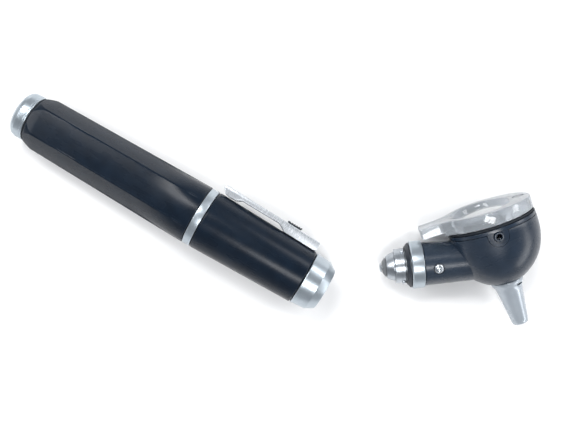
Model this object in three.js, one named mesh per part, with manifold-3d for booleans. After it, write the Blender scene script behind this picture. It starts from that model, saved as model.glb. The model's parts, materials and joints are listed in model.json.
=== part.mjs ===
// Pocket otoscope: a battery handle with a side clip and slide switch, and beside it the
// otoscope head with its swivelling lens plate and ear speculum. Millimetres, +Z up.
// The handle lies along +X. The head lies next to its front end, on its side.
import * as THREE from 'three';
import { mergeVertices } from 'three/addons/utils/BufferGeometryUtils.js';
import Module from 'manifold-3d';

const wasm = await Module();
wasm.setup();

// ---- Driving dimensions -------------------------------------------------------------

const GAP = 0.3;              // clearance between neighbouring pieces
const ROUND = 32;             // sides of a large turned piece
const SMALL_ROUND = 18;       // sides of a small turned piece

// Handle: x runs from the tail end (0) to the front end, the axis is y = z = 0.
const HANDLE_LENGTH = 121.7;
const CAP_RADIUS = 8.33;
const CAP_LENGTH = 5.3;
const BARREL_START = 6.0;
const BARREL_END = 70.5;
const BARREL_TAIL_RADIUS = 9.5;
const BARREL_FRONT_RADIUS = 10.75;
const FLAT_TAIL_APOTHEM = 8.4;      // half the width across the hexagon's flats, at the tail
const FLAT_FRONT_APOTHEM = 9.15;    // the same at the ring, if the flats went on that far
const FLAT_FADE = 0.68;             // where they start to fade, as a part of the barrel's length
const RING_START = 70.8;
const RING_END = 73.6;
const RING_RADIUS = 10.85;
const SLEEVE_START = 73.9;
const SLEEVE_END = 113.0;
const SLEEVE_REAR_RADIUS = 10.7;
const SLEEVE_FRONT_RADIUS = 9.75;
const NOSE_START = 113.3;
const BATTERY_RADIUS = 7.1;
const BATTERY_LENGTH = 50.2;
const BORE_RADIUS = 7.6;
const REAR_BATTERY_X = 5.2;
const SOCKET_RADIUS = 6.5;          // takes the head's plug
const SOCKET_FLOOR = 110.0;

// Clip: a bright channel on the handle's left side (+Y) that carries the switch.
const CLIP_WIDTH = 6.6;
const CLIP_WALL = 0.7;
const CLIP_RIVETS = [107.0, 110.0];

// Head: origin where the speculum's axis meets the rim plane, +Z to the examiner's eye,
// +X to the lens plate's pivot, the neck leaves towards -X.
const RIM_CENTRE_X = 1.0;
const RIM_HALF_LENGTH = 15.6;
const RIM_HALF_WIDTH = 13.5;
const BOWL_DEPTH = 22.0;
const SHELL_WALL = 1.5;
const NECK_TILT = THREE.MathUtils.degToRad(14);
const PLUG_TIP = new THREE.Vector3(-41, 0, -3.6);
const PLUG_LENGTH = 10.8;
const COLLAR_LENGTH = 4.3;
const COLLAR_RADIUS = 8.4;
const NECK_REAR_RADIUS = 7.7;
const NECK_FRONT_RADIUS = 7.3;
const PLATE_TAB_TOP = 5.3;           // the plate's top face slopes down from here
const PLATE_FAR_TOP = 4.5;           // to here, past the pivot
const WINDOW_RADIUS = 10.2;
const WINDOW_X = -1.0;
const PIVOT_X = 12.6;
const PORT_Z = -3.7;
const SCREW_ALONG = 20.0;
const SCREW_TURN = THREE.MathUtils.degToRad(5);
// Round the neck, from the side with the screw.
const LUG_ANGLES = [55, -65, 175].map(THREE.MathUtils.degToRad);
const SPECULUM_TIP_Z = -39.1;

// The handle lies on its ring and on the tail end of its lowest flat. The head lies on its
// side, on its collar and its bowl: this is the attitude in which its weight comes to rest.
const FLAT_FOOT = 0.05;             // where that flat starts, as a part of the barrel's length
const FLAT_FOOT_X = THREE.MathUtils.lerp(BARREL_START, BARREL_END, FLAT_FOOT);
const HANDLE_PITCH = Math.asin((RING_RADIUS - gripApothem(FLAT_FOOT)) / (RING_START - FLAT_FOOT_X));
const HEAD_PLACE = new THREE.Vector3(158.84, 49.75, 13.62);
const HEAD_YAW = THREE.MathUtils.degToRad(49.86);
const HEAD_DIP = THREE.MathUtils.degToRad(-8.48);
const HEAD_LEAN = THREE.MathUtils.degToRad(-82.39);

// ---- Materials ----------------------------------------------------------------------

const material = (color, roughness, metalness) =>
  new THREE.MeshStandardMaterial({ color, roughness, metalness });

const blackAnodised = material(0x2b3542, 0.42, 0.6);
const blackPlastic = material(0x323c48, 0.5, 0.0);
const satinSilver = material(0xb9c2ca, 0.35, 0.9);
const brightChrome = material(0xe2e6ea, 0.15, 1.0);
const brass = material(0xc8a860, 0.3, 1.0);
const springSteel = material(0xa9adb2, 0.3, 1.0);
const rubber = material(0x16181b, 0.8, 0.0);
const nylon = material(0xd8d6cc, 0.6, 0.0);
const greySpeculum = material(0xb4bcc4, 0.4, 0.0);
const clearAcrylic = material(0xc4c8cc, 0.15, 0.0);
const glass = material(0xeef2f5, 0.05, 0.0);
const batteryJacket = material(0x5a6068, 0.4, 0.2);

// ---- Shape helpers ------------------------------------------------------------------

// Only positions are kept, with shared vertices merged and every face turned outward.
function closed(geometry) {
  geometry.deleteAttribute('normal');
  geometry.deleteAttribute('uv');
  const merged = mergeVertices(geometry, 1e-4);
  const index = merged.index.array;
  const a = new THREE.Vector3();
  const b = new THREE.Vector3();
  const c = new THREE.Vector3();
  let volume = 0;
  for (let i = 0; i < index.length; i += 3) {
    a.fromBufferAttribute(merged.attributes.position, index[i]);
    b.fromBufferAttribute(merged.attributes.position, index[i + 1]);
    c.fromBufferAttribute(merged.attributes.position, index[i + 2]);
    volume += a.dot(b.cross(c)) / 6;
  }
  if (volume < 0) {
    for (let i = 0; i < index.length; i += 3) {
      [index[i], index[i + 1]] = [index[i + 1], index[i]];
    }
  }
  return merged;
}

// Turned along +X from [x, radius] pairs. The profile starts and ends on the axis, or it is
// a ring's section, which this closes.
function turned(profile, sides = ROUND) {
  const points = profile.map(([x, radius]) => new THREE.Vector2(radius, x));
  const onAxis = profile[0][1] === 0;
  if (!onAxis) {
    points.push(points[0].clone());
  }
  return closed(new THREE.LatheGeometry(points, sides).rotateZ(-Math.PI / 2));
}

// The same along +Z, from [z, radius] pairs.
function turnedZ(profile, sides = ROUND) {
  return turned(profile, sides).rotateY(-Math.PI / 2);
}

// The same along +Y, from [y, radius] pairs.
function turnedY(profile, sides = ROUND) {
  return turned(profile, sides).rotateZ(Math.PI / 2);
}

// A skin through rings of points, closed at both ends. Every ring has as many points.
function lofted(rings) {
  const sides = rings[0].length;
  const positions = rings.flat().flatMap((p) => [p.x, p.y, p.z]);
  const index = [];
  for (let r = 0; r + 1 < rings.length; r += 1) {
    for (let i = 0; i < sides; i += 1) {
      const a = r * sides + i;
      const b = r * sides + ((i + 1) % sides);
      index.push(a, b, b + sides, a, b + sides, a + sides);
    }
  }
  for (const [ring, flip] of [[0, true], [rings.length - 1, false]]) {
    const centre = new THREE.Vector3();
    rings[ring].forEach((p) => centre.add(p));
    centre.divideScalar(sides);
    const hub = positions.length / 3;
    positions.push(centre.x, centre.y, centre.z);
    for (let i = 0; i < sides; i += 1) {
      const a = ring * sides + i;
      const b = ring * sides + ((i + 1) % sides);
      index.push(hub, flip ? b : a, flip ? a : b);
    }
  }
  const geometry = new THREE.BufferGeometry();
  geometry.setAttribute('position', new THREE.Float32BufferAttribute(positions, 3));
  geometry.setIndex(index);
  return closed(geometry);
}

// An outline in X and Z, given as a THREE.Shape, made `width` thick about y = middle.
function slab(shape, width, middle = 0) {
  const geometry = new THREE.ExtrudeGeometry(shape,
    { depth: width, bevelEnabled: false, curveSegments: 8 });
  return closed(geometry.rotateX(Math.PI / 2).translate(0, middle + width / 2, 0));
}

// An outline in X and Y, from z = bottom to z = top.
function plate(shape, bottom, top, curveSegments = 12) {
  const geometry = new THREE.ExtrudeGeometry(shape,
    { depth: top - bottom, bevelEnabled: false, curveSegments });
  return closed(geometry.translate(0, 0, bottom));
}

function box(x0, x1, y0, y1, z0, z1) {
  const geometry = new THREE.BoxGeometry(x1 - x0, y1 - y0, z1 - z0);
  return closed(geometry.translate((x0 + x1) / 2, (y0 + y1) / 2, (z0 + z1) / 2));
}

function toSolid(geometry) {
  const vertProperties = new Float32Array(geometry.attributes.position.array);
  const triVerts = new Uint32Array(geometry.index.array);
  return new wasm.Manifold(new wasm.Mesh({ numProp: 3, vertProperties, triVerts }));
}

function fromSolid(solid) {
  const { vertProperties, triVerts } = solid.getMesh();
  const geometry = new THREE.BufferGeometry();
  geometry.setAttribute('position', new THREE.BufferAttribute(vertProperties, 3));
  geometry.setIndex(new THREE.BufferAttribute(triVerts, 1));
  return geometry;
}

const cut = (base, ...tools) =>
  fromSolid(tools.reduce((solid, tool) => solid.subtract(toSolid(tool)), toSolid(base)));

const joined = (base, ...more) =>
  fromSolid(more.reduce((solid, other) => solid.add(toSolid(other)), toSolid(base)));

const common = (base, other) => fromSolid(toSolid(base).intersect(toSolid(other)));

// A coil of round wire along +X, from x = start to x = end.
class CoilCurve extends THREE.Curve {
  constructor(start, end, startRadius, endRadius, turns) {
    super();
    Object.assign(this, { start, end, startRadius, endRadius, turns });
  }

  getPoint(t, target = new THREE.Vector3()) {
    const angle = 2 * Math.PI * this.turns * t;
    const radius = THREE.MathUtils.lerp(this.startRadius, this.endRadius, t);
    const x = THREE.MathUtils.lerp(this.start, this.end, t);
    return target.set(x, radius * Math.cos(angle), radius * Math.sin(angle));
  }
}

function coil(start, end, startRadius, endRadius, turns, wireRadius) {
  const section = new THREE.Shape().absarc(0, 0, wireRadius, 0, 2 * Math.PI);
  return closed(new THREE.ExtrudeGeometry(section, {
    extrudePath: new CoilCurve(start, end, startRadius, endRadius, turns),
    steps: Math.round(turns * 14),
    curveSegments: 6,
    bevelEnabled: false,
  }));
}

function piece(parent, name, geometry, look) {
  const mesh = new THREE.Mesh(geometry, look);
  mesh.name = name;
  parent.add(mesh);
  return mesh;
}

// ---- Handle -------------------------------------------------------------------------

// Half the width across the barrel's flats, at a part t of its length.
function gripApothem(t) {
  return THREE.MathUtils.lerp(FLAT_TAIL_APOTHEM, FLAT_FRONT_APOTHEM, t);
}

// A round section of the given radius with six flats cut on it, one of them facing up. At a
// fade of 1 the flats have gone.
function gripRing(x, radius, apothem, fade) {
  const sides = 72;
  const ring = [];
  for (let i = 0; i < sides; i += 1) {
    const angle = (2 * Math.PI * i) / sides;
    const fromFlat = ((angle + Math.PI / 6 + Math.PI / 2) % (Math.PI / 3)) - Math.PI / 6;
    const cutTo = Math.min(radius, apothem / Math.cos(fromFlat));
    const reach = THREE.MathUtils.lerp(cutTo, radius, fade);
    ring.push(new THREE.Vector3(x, reach * Math.cos(angle), reach * Math.sin(angle)));
  }
  return ring;
}

// The flats keep their width and fade into the round towards the ring.
function gripBarrel() {
  const stations = [0, FLAT_FOOT, FLAT_FADE, 0.78, 0.86, 0.93, 1];
  const rings = stations.map((t) => {
    const x = THREE.MathUtils.lerp(BARREL_START, BARREL_END, t);
    const chamfer = t === 0 ? 1.1 : 0;
    const radius = THREE.MathUtils.lerp(BARREL_TAIL_RADIUS, BARREL_FRONT_RADIUS, t);
    const fade = THREE.MathUtils.smoothstep(t, FLAT_FADE, 1);
    return gripRing(x, radius - chamfer, gripApothem(t) - chamfer * 0.1, fade);
  });
  const bore = turned([[BARREL_START - 1, 0], [BARREL_START - 1, 7.95], [10.6, 7.95],
    [10.6, BORE_RADIUS], [BARREL_END + 1, BORE_RADIUS], [BARREL_END + 1, 0]]);
  return cut(lofted(rings), bore);
}

function addHandle(parent) {
  const handle = new THREE.Group();
  parent.add(handle);
  handle.rotation.y = -HANDLE_PITCH;
  const ringFoot = new THREE.Vector3(RING_START, 0, -RING_RADIUS).applyEuler(handle.rotation);
  handle.position.z = -ringFoot.z;

  piece(handle, 'tail_cap', turned([[0, 0], [0, 5.4], [0.35, 6.9], [1.1, 7.9], [2.2, CAP_RADIUS],
    [CAP_LENGTH, CAP_RADIUS], [CAP_LENGTH, 7.7], [9.6, 7.7], [9.6, 7.3], [1.7, 7.3], [1.7, 0]]),
  satinSilver);
  piece(handle, 'tail_cap_seal', turned([[5.4, 7.85], [5.4, 8.2], [5.9, 8.2], [5.9, 7.85]]), rubber);
  piece(handle, 'tail_spring_seat', turned([[1.85, 0], [1.85, 6.4], [2.3, 6.4], [2.3, 0]], 24), brass);
  piece(handle, 'tail_spring', coil(2.75, 4.6, 5.2, 3.2, 2.5, 0.3), springSteel);
  piece(handle, 'grip_barrel', gripBarrel(), blackAnodised);

  for (const [name, x] of [['battery_rear', REAR_BATTERY_X],
    ['battery_front', REAR_BATTERY_X + BATTERY_LENGTH + 0.3]]) {
    const end = x + BATTERY_LENGTH;
    piece(handle, name, turned([[x, 0], [x, 6.5], [x + 0.5, BATTERY_RADIUS],
      [end - 1.8, BATTERY_RADIUS], [end - 1.2, 6.4], [end - 1.2, 2.7], [end, 2.6], [end, 0]], 24),
    batteryJacket);
  }

  piece(handle, 'mid_ring', turned([[RING_START, BORE_RADIUS], [RING_START, RING_RADIUS - 0.2],
    [RING_START + 0.3, RING_RADIUS], [RING_END - 0.3, RING_RADIUS - 0.05],
    [RING_END, RING_RADIUS - 0.25], [RING_END, BORE_RADIUS]], 48), satinSilver);
  piece(handle, 'front_sleeve', turned([[SLEEVE_START, BORE_RADIUS],
    [SLEEVE_START, SLEEVE_REAR_RADIUS], [SLEEVE_END - 0.3, SLEEVE_FRONT_RADIUS],
    [SLEEVE_END, SLEEVE_FRONT_RADIUS - 0.3], [SLEEVE_END, BORE_RADIUS]], 40), blackAnodised);
  const socketTurning = turned([[106.6, SOCKET_RADIUS], [106.6, 7.3], [NOSE_START, 7.3],
    [NOSE_START, 9.5], [NOSE_START + 0.3, 9.65], [118.7, 9.2], [120.3, 8.3], [HANDLE_LENGTH, 7.45],
    [HANDLE_LENGTH, SOCKET_RADIUS + 0.3], [HANDLE_LENGTH - 0.3, SOCKET_RADIUS]]);
  const lugSlots = LUG_ANGLES.map((angle) => box(117.0, 125, -7.1, 0, -0.95, 0.95).rotateX(angle));
  piece(handle, 'socket_cap', cut(socketTurning, ...lugSlots), satinSilver);
  piece(handle, 'battery_contact', turned([[106.1, 0], [106.1, 6.0], [106.5, 6.0], [106.5, 0]], 24),
    brass);
  piece(handle, 'socket_insulator', turned([[106.8, 2.9], [106.8, 6.2], [SOCKET_FLOOR, 6.2],
    [SOCKET_FLOOR, 1.5], [109.4, 1.5], [109.4, 2.9]], 24), nylon);
  piece(handle, 'contact_pin', turned([[108.8, 0], [108.8, 2.5], [109.2, 2.5], [109.2, 1.2],
    [112.0, 1.2], [112.6, 0.7], [112.6, 0]], SMALL_ROUND), brass);
  piece(handle, 'contact_spring', coil(107.6, 108.35, 2.0, 2.0, 1.8, 0.15), springSteel);
  addClip(handle);
}

// The clip's side outline: x along the handle, y outward from the handle's axis.
function clipOutline() {
  const shape = new THREE.Shape();
  shape.moveTo(112.3, 9.95);
  shape.lineTo(112.3, 12.7);
  shape.quadraticCurveTo(112.2, 13.1, 111.7, 13.1);
  shape.lineTo(95.0, 13.6);
  shape.lineTo(75.9, 14.0);
  shape.quadraticCurveTo(73.9, 14.1, 74.0, 13.0);
  shape.lineTo(75.4, 11.2);
  shape.quadraticCurveTo(76.2, 10.85, 77.2, 10.85);
  shape.lineTo(79.4, 10.9);
  shape.quadraticCurveTo(80.6, 11.2, 81.6, 12.0);
  shape.lineTo(96.3, 11.8);
  shape.quadraticCurveTo(97.4, 11.5, 99.5, 10.0);
  shape.lineTo(111.2, 9.7);
  shape.lineTo(111.4, 9.95);
  shape.closePath();
  return shape;
}

function addClip(handle) {
  const half = CLIP_WIDTH / 2;
  const solid = plate(clipOutline(), -half, half);
  const hollow = new THREE.Shape();
  hollow.moveTo(80.5, 9);
  hollow.lineTo(80.5, 13.25);
  hollow.lineTo(96.0, 12.85);
  hollow.lineTo(111.5, 12.3);
  hollow.lineTo(111.5, 9);
  hollow.closePath();
  const channel = plate(hollow, -half + CLIP_WALL, half - CLIP_WALL);
  const slot = box(98.6, 108.4, 11.5, 15, -1.1, 1.1);
  const floor = box(105.2, 111.8, 9.95, 10.6, -half + 0.1, half - 0.1);
  const holes = CLIP_RIVETS.map((x) => turnedY([[8, 0], [8, 0.7], [12, 0.7], [12, 0]], SMALL_ROUND)
    .translate(x, 0, 0));
  piece(handle, 'clip', cut(joined(cut(solid, channel, slot), floor), ...holes), brightChrome);

  const cap = box(98.9, 104.5, 13.75, 14.3, -1.9, 1.9);
  const stem = box(99.2, 104.2, 11.6, 13.8, -0.8, 0.8);
  const grooves = [100.0, 101.0, 102.0, 103.0].map((x) => box(x, x + 0.45, 14.05, 15, -3, 3));
  piece(handle, 'switch_slider', cut(joined(cap, stem), ...grooves), blackPlastic);
  piece(handle, 'switch_contact', box(100.6, 104.9, 10.4, 10.8, -1.6, 1.6), springSteel);
  CLIP_RIVETS.forEach((x, i) => {
    const rivet = turnedY([[10.05, 0], [10.05, 0.5], [10.75, 0.5], [10.75, 1.1], [11.1, 0.9],
      [11.25, 0]], SMALL_ROUND);
    piece(handle, `clip_rivet_${i + 1}`, rivet.translate(x, 0, 0), springSteel);
  });
}

// ---- Head ---------------------------------------------------------------------------

// The rim's outline, an oval, grown or shrunk by `offset`.
function rimOval(offset) {
  return new THREE.Shape().absellipse(
    RIM_CENTRE_X, 0, RIM_HALF_LENGTH + offset, RIM_HALF_WIDTH + offset, 0, 2 * Math.PI);
}

// The bowl of the head as a stack of ovals that become a circle at the speculum's root.
function bowl(offset, top, bottom) {
  const profile = [[0, 15.6, 13.4], [-4, 15.85, 13.1], [-8, 15.8, 12.7], [-12, 15.0, 12.15],
    [-15.5, 13.5, 11.2], [-18.3, 11.5, 9.8], [-20.2, 9.4, 8.4], [-21.5, 7.6, 7.1],
    [-BOWL_DEPTH, 6.4, 6.3]];
  const sides = 40;
  const rings = profile.map(([depth, length, width], step) => {
    const t = depth / -BOWL_DEPTH;
    const z = step === 0 ? top : Math.max(depth - offset * t, bottom);
    const centre = RIM_CENTRE_X * (1 - t);
    const ring = [];
    for (let i = 0; i < sides; i += 1) {
      const angle = (2 * Math.PI * i) / sides;
      ring.push(new THREE.Vector3(centre + (length + offset) * Math.cos(angle),
        (width + offset) * Math.sin(angle), z));
    }
    return ring;
  });
  return lofted(rings);
}

// Puts a shape that was made along the neck's own axis, from the plug's tip, into the head.
function alongNeck(geometry) {
  return geometry.rotateY(NECK_TILT).translate(PLUG_TIP.x, PLUG_TIP.y, PLUG_TIP.z);
}

const NECK_START = PLUG_LENGTH + COLLAR_LENGTH + GAP;
const NECK_END = 38;
const COVER_TOP = -1.0;
const COVER_BOTTOM = -2.2;

// The tongue that hangs from the cover around the air port, on the head's -Y side.
function tongue(offset) {
  const radius = 3.5 + offset;
  const shape = new THREE.Shape();
  shape.moveTo(-radius, COVER_TOP);
  shape.lineTo(-radius, PORT_Z);
  shape.absarc(0, PORT_Z, radius, Math.PI, 2 * Math.PI);
  shape.lineTo(radius, COVER_TOP);
  shape.closePath();
  return slab(shape, 8, -14);
}

function addHead(parent) {
  const head = new THREE.Group();
  parent.add(head);
  head.position.copy(HEAD_PLACE);
  head.rotation.set(HEAD_LEAN, HEAD_DIP, HEAD_YAW, 'ZYX');
  addShell(head);
  addNeck(head);
  addWindow(head);
  addSpeculum(head);
}

function addShell(head) {
  const outer = bowl(0, COVER_BOTTOM - 0.2, -BOWL_DEPTH);
  const neck = alongNeck(turned([[NECK_START, 0], [NECK_START, NECK_REAR_RADIUS],
    [NECK_END - 5, NECK_FRONT_RADIUS], [NECK_END, 0]]));
  const web = alongNeck(turned([[29, 0], [29, 4], [36, 8.6], [40, 0]], 24));
  const inside = bowl(-SHELL_WALL, 1, -BOWL_DEPTH + SHELL_WALL);
  const neckBore = alongNeck(turned([[0, 0], [0, 5.0], [NECK_END - 2, 5.0], [NECK_END - 2, 0]], 24));
  const noseHole = turnedZ([[-30, 0], [-30, 4.4], [-10, 4.4], [-10, 0]], 24);
  const screwHole = turnedY([[-20, 0], [-20, 0.9], [-2, 0.9], [-2, 0]], SMALL_ROUND);
  const screwSeat = turnedY([[-20, 0], [-20, 1.95], [-7.0, 1.95], [-7.0, 0]], SMALL_ROUND);
  const screwAxis = (tool) => alongNeck(tool.rotateX(SCREW_TURN).translate(SCREW_ALONG, 0, 0));
  const shell = cut(joined(outer, neck, web), inside, neckBore, noseHole,
    screwAxis(screwHole), screwAxis(screwSeat), tongue(0.15));
  piece(head, 'head_shell', shell, blackPlastic);

  const band = plate(rimOval(0), COVER_BOTTOM, COVER_TOP, 40);
  const flap = common(cut(bowl(0, 0, -BOWL_DEPTH), bowl(-SHELL_WALL, 1, -BOWL_DEPTH + SHELL_WALL)),
    tongue(0));
  const well = plate(rimOval(-2.6), -10, 5, 40);
  const portHole = turnedY([[-20, 0], [-20, 1.85], [-5, 1.85], [-5, 0]], SMALL_ROUND)
    .translate(0, 0, PORT_Z);
  const pivotHole = turnedZ([[-10, 0], [-10, 0.9], [5, 0.9], [5, 0]], SMALL_ROUND)
    .translate(PIVOT_X, 0, 0);
  const bossRing = plate(new THREE.Shape().absarc(PIVOT_X, 0, 2.6, 0, 2 * Math.PI),
    COVER_BOTTOM, COVER_TOP, 12);
  const cover = cut(joined(cut(joined(band, flap), well), bossRing), portHole, pivotHole);
  piece(head, 'eyepiece_cover', cover, blackPlastic);
  const gasket = cut(plate(rimOval(-0.25), COVER_TOP + 0.1, -0.1, 40), plate(rimOval(-2.4), -5, 5, 40),
    turnedZ([[-10, 0], [-10, 1.4], [5, 1.4], [5, 0]], SMALL_ROUND).translate(PIVOT_X, 0, 0));
  piece(head, 'rim_gasket', gasket, rubber);
  piece(head, 'air_port', turnedY([[-14.1, 1.05], [-14.1, 1.5], [-13.8, 1.7], [-10.0, 1.7],
    [-10.0, 1.05]], SMALL_ROUND).translate(0, 0, PORT_Z), blackPlastic);
}

function addNeck(head) {
  const collarEnd = PLUG_LENGTH + COLLAR_LENGTH;
  const collar = turned([[PLUG_LENGTH, 6.2], [PLUG_LENGTH, 8.05], [PLUG_LENGTH + 0.4, COLLAR_RADIUS],
    [collarEnd, COLLAR_RADIUS], [collarEnd, 6.2]], 40);
  piece(head, 'neck_collar', alongNeck(collar), satinSilver);
  piece(head, 'collar_front_ring', alongNeck(turned([[9.2, 6.2], [9.2, 6.7], [10.5, 8.1],
    [10.5, 6.2]])), blackPlastic);

  const lugs = LUG_ANGLES.map((angle) => turnedY([[-6.75, 0], [-6.75, 0.7], [-5.5, 0.7], [-5.5, 0]], 12)
    .translate(8.0, 0, 0).rotateX(angle));
  const plugBody = joined(turned([[2.35, 3.4], [2.35, 4.0], [5.0, 5.15], [5.0, 4.8], [5.3, 4.8],
    [5.3, 6.05], [8.7, 6.15], [8.9, 5.9], [15.0, 5.9], [15.0, 4.7], [19.4, 4.7], [19.4, 3.4]]),
  ...lugs);
  piece(head, 'bayonet_plug', alongNeck(plugBody), satinSilver);
  piece(head, 'plug_insulator', alongNeck(turned([[0.95, 1.2], [0.95, 2.1], [2.05, 3.6], [2.05, 3.1],
    [7.5, 3.1], [7.5, 1.2]], 24)), blackPlastic);
  piece(head, 'plug_contact', alongNeck(turned([[0, 0], [0, 1.2], [0.4, 1.75], [0.65, 1.75],
    [0.65, 0.9], [7.8, 0.9], [7.8, 0]], SMALL_ROUND)), brass);
  piece(head, 'lamp_base', alongNeck(turned([[8.1, 0], [8.1, 2.9], [15.5, 2.9], [15.5, 2.2],
    [17.0, 2.2], [17.0, 0]], 24)), brass);
  piece(head, 'lamp_bulb', alongNeck(turned([[17.3, 0], [17.3, 1.7], [20.0, 1.7], [20.9, 1.1],
    [21.2, 0]], SMALL_ROUND)), glass);
  piece(head, 'light_guide', lightGuide(), glass);

  const dome = turnedY([[-8.0, 0], [-7.8, 1.2], [-7.3, 1.75], [-7.15, 1.75], [-7.15, 0]], 24);
  const shank = turnedY([[-7.3, 0], [-7.3, 0.6], [-6.2, 0.6], [-6.2, 0]], 12);
  const slots = [box(-1.1, 1.1, -9, -7.55, -0.18, 0.18), box(-0.18, 0.18, -9, -7.55, -1.1, 1.1)];
  const screw = cut(joined(dome, shank), ...slots);
  piece(head, 'neck_screw', alongNeck(screw.rotateX(SCREW_TURN).translate(SCREW_ALONG, 0, 0)),
    brightChrome);
}

// The bundle of fibres runs from the lamp, bends at the bowl and goes down beside the view.
function lightGuide() {
  const start = new THREE.Vector3(22.0, 0, 0).applyAxisAngle(new THREE.Vector3(0, 1, 0), NECK_TILT)
    .add(PLUG_TIP);
  const bend = new THREE.CatmullRomCurve3([start, new THREE.Vector3(-12.2, 0, -10.8),
    new THREE.Vector3(-6.8, 0, -13.8), new THREE.Vector3(-3.6, 0, -18.2),
    new THREE.Vector3(-2.6, 0, -22.5), new THREE.Vector3(-0.9, 0, -35.5)]);
  const section = new THREE.Shape().absarc(0, 0, 0.4, 0, 2 * Math.PI);
  return closed(new THREE.ExtrudeGeometry(section,
    { extrudePath: bend, steps: 24, curveSegments: 4, bevelEnabled: false }));
}

// The lens plate seen from the examiner's side: a ring with a far lobe and a thumb tab.
function plateOutline() {
  const shape = new THREE.Shape();
  shape.moveTo(-23.2, -4.3);
  shape.lineTo(-17.5, -4.3);
  shape.quadraticCurveTo(-13.4, -4.8, -11.6, -7.4);
  shape.absellipse(RIM_CENTRE_X, 0, RIM_HALF_LENGTH - 0.1, RIM_HALF_WIDTH, -2.48, 2.48, false);
  shape.quadraticCurveTo(-13.4, 4.8, -17.5, 4.3);
  shape.lineTo(-23.2, 4.3);
  shape.quadraticCurveTo(-24.2, 0, -23.2, -4.3);
  return shape;
}

function addWindow(head) {
  const body = plate(plateOutline(), 0.2, PLATE_TAB_TOP);
  const slope = new THREE.Shape([[-14, PLATE_TAB_TOP], [18, PLATE_FAR_TOP], [18, 8], [-14, 8]]
    .map(([x, z]) => new THREE.Vector2(x, z)));
  const topSlope = slab(slope, 40);
  const tabRelief = box(-30, -15.6, -10, 10, -1, 1.6);
  const upperOpening = turnedZ([[2.0, 0], [2.0, WINDOW_RADIUS - 0.8], [6, WINDOW_RADIUS + 0.6],
    [6, 0]]).translate(WINDOW_X, 0, 0);
  const lowerOpening = turnedZ([[-2, 0], [-2, 8.4], [2.5, 8.4], [2.5, 0]]).translate(WINDOW_X, 0, 0);
  const pivotHole = turnedZ([[-2, 0], [-2, 1.1], [6, 1.1], [6, 0]], SMALL_ROUND)
    .translate(PIVOT_X, 0, 0);
  const headSeat = turnedZ([[3.9, 0], [3.9, 2.1], [6, 2.1], [6, 0]], SMALL_ROUND)
    .translate(PIVOT_X, 0, 0);
  piece(head, 'lens_plate',
    cut(body, topSlope, tabRelief, upperOpening, lowerOpening, pivotHole, headSeat), clearAcrylic);

  piece(head, 'magnifying_lens', turnedZ([[1.7, 0], [2.0, 5.0], [2.35, 9.0], [2.9, 9.15],
    [3.4, 7.0], [3.8, 3.6], [3.95, 0]]).translate(WINDOW_X, 0, 0), glass);
  const pivot = cut(turnedZ([[-4.2, 0], [-4.2, 0.75], [4.05, 0.75], [4.05, 1.8], [4.5, 1.7],
    [4.6, 1.3], [4.6, 0]], SMALL_ROUND), box(-2, 2, -0.2, 0.2, 4.3, 6));
  piece(head, 'lens_pivot_screw', pivot.translate(PIVOT_X, 0, 0), springSteel);
  piece(head, 'pivot_washer', turnedZ([[-0.85, 0.85], [-0.85, 1.3], [-0.1, 1.3], [-0.1, 0.85]],
    SMALL_ROUND).translate(PIVOT_X, 0, 0), springSteel);
  piece(head, 'pivot_nut', turnedZ([[-5.6, 0], [-5.6, 1.6], [-4.5, 1.6], [-4.5, 0]], 6)
    .translate(PIVOT_X, 0, 0), springSteel);
}

function addSpeculum(head) {
  const z = SPECULUM_TIP_Z;
  piece(head, 'nose_cone', turnedZ([[-19.2, 3.6], [-19.2, 5.3], [-20.0, 5.3], [-20.0, 4.1],
    [-23.5, 3.95], [z + 2.4, 2.05], [z + 2.4, 1.75], [-23.5, 3.6]], 24), satinSilver);
  const skirt = turnedZ([[-22.4, 4.5], [-22.4, 5.75], [-23.4, 5.6], [-25.2, 4.75], [-28.5, 4.2],
    [-33.0, 3.6], [z + 0.5, 2.9], [z, 2.5], [z, 2.0], [z + 1, 2.4], [-33.0, 3.1], [-25.2, 4.2]]);
  const notch = box(2.2, 7, -6.2, -1.6, -24.75, -23.9);
  piece(head, 'speculum', cut(skirt, notch), greySpeculum);
}

const otoscope = new THREE.Group();
addHandle(otoscope);
addHead(otoscope);

// The frame's origin is at the middle of the whole lay-out, on the table.
const extent = new THREE.Box3().setFromObject(otoscope, true);
const middle = extent.getCenter(new THREE.Vector3());
otoscope.position.set(-middle.x, -middle.y, -extent.min.z);

export default otoscope;
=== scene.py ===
import json
import math

import bmesh
import bpy
import numpy as np
from mathutils import Matrix, Vector


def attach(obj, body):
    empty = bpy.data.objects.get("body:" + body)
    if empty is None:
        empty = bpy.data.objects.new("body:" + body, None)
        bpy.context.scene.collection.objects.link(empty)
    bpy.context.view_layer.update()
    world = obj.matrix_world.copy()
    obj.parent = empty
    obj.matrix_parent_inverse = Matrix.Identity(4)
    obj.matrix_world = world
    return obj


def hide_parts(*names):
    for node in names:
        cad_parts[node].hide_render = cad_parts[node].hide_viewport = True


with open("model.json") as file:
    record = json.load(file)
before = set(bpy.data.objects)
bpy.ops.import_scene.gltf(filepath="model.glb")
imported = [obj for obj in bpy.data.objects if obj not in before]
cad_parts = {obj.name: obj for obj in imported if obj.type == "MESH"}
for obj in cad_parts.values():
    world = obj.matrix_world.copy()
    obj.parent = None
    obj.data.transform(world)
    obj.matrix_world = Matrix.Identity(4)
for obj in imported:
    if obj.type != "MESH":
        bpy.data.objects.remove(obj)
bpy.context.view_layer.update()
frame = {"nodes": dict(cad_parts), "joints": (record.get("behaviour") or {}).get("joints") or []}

# The pieces are made in millimetres, in the handle's or the head's own axes, and each is put
# in its place in the frame at the end. MM turns millimetres into the frame's metres.
MM = 0.001
SHARP_ANGLE = 32            # degrees; edges that turn more than this stay crisp
JOINTS = {joint["name"]: joint for joint in frame["joints"]}


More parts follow.
